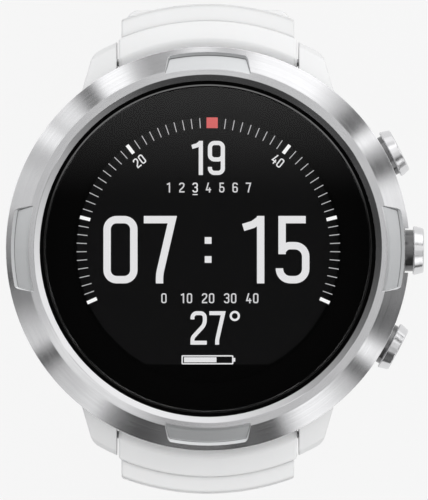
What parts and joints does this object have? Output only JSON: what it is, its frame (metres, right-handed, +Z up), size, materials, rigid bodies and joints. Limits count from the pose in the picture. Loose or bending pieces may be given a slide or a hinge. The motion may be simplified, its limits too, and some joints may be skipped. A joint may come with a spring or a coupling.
{
  "type": "dive computer",
  "caption": "Round wrist dive computer: steel bezel with grip pockets over a white case, side push buttons, flat glass, and an open two-part strap with buckle and keepers.",
  "frame": {"origin": "on the case axis, on the ground that the long strap half stands on", "axes": "+Z up and out of the glass, +Y towards 12 o'clock, +X towards the push buttons"},
  "size_m": [0.055, 0.0661, 0.09],
  "materials": {
    "bezel_steel": "turned and finely brushed",
    "pusher_steel": "turned",
    "back_steel": "brushed",
    "buckle_steel": "brushed",
    "fastener_steel": "turned",
    "spring_steel": "drawn wire",
    "cell_steel": "pressed",
    "shield_tin": "tinned",
    "tungsten": "sintered",
    "gold_contact": "gold plated",
    "brass_plate": "plain",
    "glass": "polished",
    "white_polymer": "satin",
    "black_polymer": "moulded",
    "white_plunger": "moulded",
    "clear_guide": "clear",
    "display_black": "glossy",
    "flex_amber": "film",
    "board_green": "solder mask",
    "black_rubber": "matt",
    "strap_rubber": "satin"
  },
  "bodies": {
    "case": {"mid_case": "white_polymer", "bezel_ring": "bezel_steel", "front_glass": "glass", "glass_gasket": "black_rubber", "bezel_gasket": "black_rubber", "case_back": "back_steel", "case_back_gasket": "black_rubber", "case_back_screws": "fastener_steel", "piezo_buzzer": "brass_plate", "contact_block": "black_polymer", "charging_contacts": "gold_contact", "battery_tray": "black_polymer", "vibration_motor": "fastener_steel", "battery_cell": "cell_steel", "main_board": "board_green", "processor_shield": "shield_tin", "display_frame": "black_polymer", "backlight_guide": "clear_guide", "display_panel": "display_black", "display_flex": "flex_amber", "pressure_sensor": "back_steel", "sensor_oring": "black_rubber", "sensor_port_cover": "back_steel", "upper_pusher_tube": "fastener_steel", "upper_pusher_spring": "spring_steel", "upper_pusher_switch": "black_polymer", "middle_pusher_tube": "fastener_steel", "middle_pusher_spring": "spring_steel", "middle_pusher_switch": "black_polymer", "lower_pusher_tube": "fastener_steel", "lower_pusher_spring": "spring_steel", "lower_pusher_switch": "black_polymer"},
    "upper_pusher": {"upper_pusher": "pusher_steel", "upper_pusher_orings": "black_rubber", "upper_pusher_clip": "spring_steel"},
    "upper_pusher_plunger": {"upper_pusher_plunger": "white_plunger"},
    "middle_pusher": {"middle_pusher": "pusher_steel", "middle_pusher_orings": "black_rubber", "middle_pusher_clip": "spring_steel"},
    "middle_pusher_plunger": {"middle_pusher_plunger": "white_plunger"},
    "lower_pusher": {"lower_pusher": "pusher_steel", "lower_pusher_orings": "black_rubber", "lower_pusher_clip": "spring_steel"},
    "lower_pusher_plunger": {"lower_pusher_plunger": "white_plunger"},
    "motor_weight": {"motor_weight": "tungsten"},
    "strap_short": {"strap_short": "strap_rubber", "fixed_keeper": "strap_rubber", "spring_bar_12": "fastener_steel", "release_spring_12": "spring_steel"},
    "strap_long": {"strap_long": "strap_rubber", "spring_bar_6": "fastener_steel", "release_spring_6": "spring_steel"},
    "release_pin_12": {"release_pin_12": "fastener_steel"},
    "release_pin_6": {"release_pin_6": "fastener_steel"},
    "buckle_frame": {"buckle_frame": "buckle_steel", "buckle_bar": "fastener_steel"},
    "buckle_tongue": {"buckle_tongue": "buckle_steel"},
    "sliding_keeper": {"sliding_keeper": "strap_rubber"}
  },
  "joints": [
    {"name": "upper_pusher_press", "type": "slide", "parent": "case", "child": "upper_pusher", "axis": [-0.8886, -0.4586, 0], "range_m": [0, 0.0007], "stiffness_N_per_m": 800, "springref_m": -0.001, "deforming": ["upper_pusher_spring"]},
    {"name": "upper_pusher_plunger_press", "type": "slide", "parent": "case", "child": "upper_pusher_plunger", "axis": [-0.8886, -0.4586, 0], "range_m": [0, 0.0007]},
    {"name": "middle_pusher_press", "type": "slide", "parent": "case", "child": "middle_pusher", "axis": [-1, 0.0087, 0], "range_m": [0, 0.0007], "stiffness_N_per_m": 800, "springref_m": -0.001, "deforming": ["middle_pusher_spring"]},
    {"name": "middle_pusher_plunger_press", "type": "slide", "parent": "case", "child": "middle_pusher_plunger", "axis": [-1, 0.0087, 0], "range_m": [0, 0.0007]},
    {"name": "lower_pusher_press", "type": "slide", "parent": "case", "child": "lower_pusher", "axis": [-0.8829, 0.4695, 0], "range_m": [0, 0.0007], "stiffness_N_per_m": 800, "springref_m": -0.001, "deforming": ["lower_pusher_spring"]},
    {"name": "lower_pusher_plunger_press", "type": "slide", "parent": "case", "child": "lower_pusher_plunger", "axis": [-0.8829, 0.4695, 0], "range_m": [0, 0.0007]},
    {"name": "motor_spin", "type": "hinge", "parent": "case", "child": "motor_weight", "pos_m": [-0.0055, -0.011, 0.078], "axis": [0, 0, 1], "continuous": true},
    {"name": "short_strap_pivot", "type": "hinge", "parent": "case", "child": "strap_short", "pos_m": [0, 0.0246, 0.0795], "axis": [1, 0, 0], "range_deg": [0, 30]},
    {"name": "long_strap_pivot", "type": "hinge", "parent": "case", "child": "strap_long", "pos_m": [0, -0.0246, 0.0795], "axis": [-1, 0, 0], "range_deg": [0, 30]},
    {"name": "release_pin_12_slide", "type": "slide", "parent": "strap_short", "child": "release_pin_12", "axis": [1, 0, 0], "range_m": [0, 0.0014], "stiffness_N_per_m": 200, "springref_m": -0.001, "deforming": ["release_spring_12"]},
    {"name": "release_pin_6_slide", "type": "slide", "parent": "strap_long", "child": "release_pin_6", "axis": [1, 0, 0], "range_m": [0, 0.0014], "stiffness_N_per_m": 200, "springref_m": -0.001, "deforming": ["release_spring_6"]},
    {"name": "buckle_pivot", "type": "hinge", "parent": "strap_short", "child": "buckle_frame", "pos_m": [0, 0.01953, 0.00475], "axis": [1, 0, 0], "range_deg": [-20, 40]},
    {"name": "tongue_pivot", "type": "hinge", "parent": "buckle_frame", "child": "buckle_tongue", "pos_m": [0, 0.01953, 0.00475], "axis": [1, 0, 0], "range_deg": [0, 75]},
    {"name": "keeper_slide", "type": "hinge", "parent": "strap_short", "child": "sliding_keeper", "pos_m": [0, 0.0075, 0.024], "axis": [1, 0, 0], "range_deg": [0, 20]}
  ],
  "couplings": [
    {"joint": "upper_pusher_plunger_press", "follows": "upper_pusher_press", "ratio": 1},
    {"joint": "middle_pusher_plunger_press", "follows": "middle_pusher_press", "ratio": 1},
    {"joint": "lower_pusher_plunger_press", "follows": "lower_pusher_press", "ratio": 1}
  ]
}
